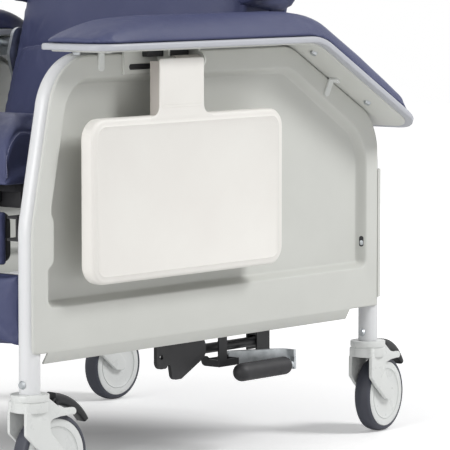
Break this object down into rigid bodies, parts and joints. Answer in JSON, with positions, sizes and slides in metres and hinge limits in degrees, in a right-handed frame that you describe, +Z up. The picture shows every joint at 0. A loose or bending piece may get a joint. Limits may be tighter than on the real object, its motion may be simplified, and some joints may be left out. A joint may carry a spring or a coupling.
{
  "type": "clinical recliner chair",
  "caption": "Wheeled care recliner with side panels, fold-up side trays, coupled back, seat and leg rest, and braked swivel casters.",
  "frame": {"origin": "middle of the chair's box at floor level", "axes": "+Z up, +Y towards the chair's rear, +X towards the sitter's left"},
  "size_m": [0.776, 0.9643, 1.154],
  "materials": {
    "frame_paint": "light grey powder coat, semi-gloss",
    "panel_plastic": "light warm grey moulding, fine grain",
    "board_plastic": "light cool grey moulding",
    "vinyl": "blue-violet upholstery vinyl with a fine grain",
    "tray_plastic": "warm white blow moulding, fine grain",
    "arm_steel": "beige grey paint",
    "bracket_paint": "light grey paint",
    "white_nylon": "white nylon",
    "zinc": "bright zinc plate",
    "black_steel": "satin black paint",
    "black_lining": "black spunbond lining under the boards",
    "grip_rubber": "matt black rubber",
    "caster_plastic": "white glass-filled nylon",
    "wheel_plastic": "white wheel disc",
    "tyre_rubber": "dark slate non-marking tread",
    "brake_plastic": "black moulding"
  },
  "bodies": {
    "frame": {"side_frame_left": "frame_paint", "side_frame_right": "frame_paint", "cross_tubes": "frame_paint", "seat_rails": "black_steel", "side_panel_left": "panel_plastic", "side_panel_right": "panel_plastic", "armrest_base_left": "board_plastic", "armrest_base_right": "board_plastic", "armrest_pad_left": "vinyl", "armrest_pad_right": "vinyl", "tray_bracket_left": "bracket_paint", "tray_bracket_right": "bracket_paint", "panel_clips": "white_nylon", "frame_screws": "zinc", "mechanism_beam": "black_steel", "gas_spring_cylinder": "black_steel", "pedal_bracket": "black_steel", "caster_stems": "zinc", "back_pivots": "zinc"},
    "back": {"back_frame": "vinyl", "back_panel": "vinyl", "back_cushion": "vinyl", "head_cushion": "vinyl", "wing_left": "vinyl", "wing_right": "vinyl", "push_handle": "frame_paint", "back_hinge_plates": "zinc"},
    "seat": {"seat_frame": "black_steel", "seat_board": "black_lining", "seat_cushion": "vinyl", "drive_plates": "black_steel", "gas_spring_rod": "zinc", "seat_glides": "white_nylon"},
    "legrest": {"legrest_frame": "black_steel", "legrest_board": "black_lining", "calf_pad": "vinyl", "foot_pad": "vinyl"},
    "left_tray": {"tray_left": "tray_plastic", "tray_arm_left": "arm_steel"},
    "right_tray": {"tray_right": "tray_plastic", "tray_arm_right": "arm_steel"},
    "pedal": {"pedal_lever": "zinc", "pedal_grip": "grip_rubber"},
    "caster_front_left": {"caster_front_left_fork": "caster_plastic"},
    "caster_front_left_roll": {"caster_front_left_wheel": "wheel_plastic", "caster_front_left_tyre": "tyre_rubber"},
    "caster_front_left_pedal": {"caster_front_left_brake": "brake_plastic"},
    "caster_front_right": {"caster_front_right_fork": "caster_plastic"},
    "caster_front_right_roll": {"caster_front_right_wheel": "wheel_plastic", "caster_front_right_tyre": "tyre_rubber"},
    "caster_front_right_pedal": {"caster_front_right_brake": "brake_plastic"},
    "caster_rear_left": {"caster_rear_left_fork": "caster_plastic"},
    "caster_rear_left_roll": {"caster_rear_left_wheel": "wheel_plastic", "caster_rear_left_tyre": "tyre_rubber"},
    "caster_rear_left_pedal": {"caster_rear_left_brake": "brake_plastic"},
    "caster_rear_right": {"caster_rear_right_fork": "caster_plastic"},
    "caster_rear_right_roll": {"caster_rear_right_wheel": "wheel_plastic", "caster_rear_right_tyre": "tyre_rubber"},
    "caster_rear_right_pedal": {"caster_rear_right_brake": "brake_plastic"}
  },
  "joints": [
    {"name": "back_recline", "type": "hinge", "parent": "frame", "child": "back", "pos_m": [0, 0.11425, 0.645], "axis": [-1, 0, 0], "range_deg": [0, 35]},
    {"name": "seat_glide", "type": "slide", "parent": "frame", "child": "seat", "axis": [0, -1, 0], "range_m": [0, 0.08]},
    {"name": "legrest_raise", "type": "hinge", "parent": "seat", "child": "legrest", "pos_m": [0, -0.41575, 0.444], "axis": [-1, 0, 0], "range_deg": [0, 75]},
    {"name": "left_tray_fold", "type": "hinge", "parent": "frame", "child": "left_tray", "pos_m": [0.349, -0.17575, 0.638], "axis": [0, -1, 0], "range_deg": [0, 90]},
    {"name": "right_tray_fold", "type": "hinge", "parent": "frame", "child": "right_tray", "pos_m": [-0.349, -0.17575, 0.638], "axis": [0, 1, 0], "range_deg": [0, 90]},
    {"name": "pedal_press", "type": "hinge", "parent": "frame", "child": "pedal", "pos_m": [0.232, 0.09465, 0.15], "axis": [0, 1, 0], "range_deg": [0, 12], "stiffness_Nm_per_rad": 6, "springref_deg": -14.32},
    {"name": "front_left_swivel", "type": "hinge", "parent": "frame", "child": "caster_front_left", "pos_m": [0.298, -0.45075, 0.14], "axis": [0, 0, 1], "continuous": true},
    {"name": "front_left_spin", "type": "hinge", "parent": "caster_front_left", "child": "caster_front_left_roll", "pos_m": [0.30329, -0.41312, 0.0625], "axis": [0.9903, -0.1392, 0], "continuous": true},
    {"name": "front_left_brake", "type": "hinge", "parent": "caster_front_left", "child": "caster_front_left_pedal", "pos_m": [0.30367, -0.41042, 0.14045], "axis": [-0.9903, 0.1392, 0], "range_deg": [0, 6], "stiffness_Nm_per_rad": 3, "springref_deg": -8.59},
    {"name": "front_right_swivel", "type": "hinge", "parent": "frame", "child": "caster_front_right", "pos_m": [-0.298, -0.45075, 0.14], "axis": [0, 0, 1], "continuous": true},
    {"name": "front_right_spin", "type": "hinge", "parent": "caster_front_right", "child": "caster_front_right_roll", "pos_m": [-0.30065, -0.41284, 0.0625], "axis": [0.9976, 0.0698, 0], "continuous": true},
    {"name": "front_right_brake", "type": "hinge", "parent": "caster_front_right", "child": "caster_front_right_pedal", "pos_m": [-0.30084, -0.41013, 0.14045], "axis": [-0.9976, -0.0698, 0], "range_deg": [0, 6], "stiffness_Nm_per_rad": 3, "springref_deg": -8.59},
    {"name": "rear_left_swivel", "type": "hinge", "parent": "frame", "child": "caster_rear_left", "pos_m": [0.298, 0.37925, 0.14], "axis": [0, 0, 1], "continuous": true},
    {"name": "rear_left_spin", "type": "hinge", "parent": "caster_rear_left", "child": "caster_rear_left_roll", "pos_m": [0.29337, 0.41697, 0.0625], "axis": [0.9925, 0.1219, 0], "continuous": true},
    {"name": "rear_left_brake", "type": "hinge", "parent": "caster_rear_left", "child": "caster_rear_left_pedal", "pos_m": [0.29304, 0.41967, 0.14045], "axis": [-0.9925, -0.1219, 0], "range_deg": [0, 6], "stiffness_Nm_per_rad": 3, "springref_deg": -8.59},
    {"name": "rear_right_swivel", "type": "hinge", "parent": "frame", "child": "caster_rear_right", "pos_m": [-0.298, 0.37925, 0.14], "axis": [0, 0, 1], "continuous": true},
    {"name": "rear_right_spin", "type": "hinge", "parent": "caster_rear_right", "child": "caster_rear_right_roll", "pos_m": [-0.29734, 0.41724, 0.0625], "axis": [0.9998, -0.0175, 0], "continuous": true},
    {"name": "rear_right_brake", "type": "hinge", "parent": "caster_rear_right", "child": "caster_rear_right_pedal", "pos_m": [-0.29729, 0.41997, 0.14045], "axis": [-0.9998, 0.0175, 0], "range_deg": [0, 6], "stiffness_Nm_per_rad": 3, "springref_deg": -8.59}
  ],
  "couplings": [
    {"joint": "seat_glide", "follows": "back_recline", "m_per_rad": 0.1309},
    {"joint": "legrest_raise", "follows": "back_recline", "ratio": 2.1428}
  ]
}
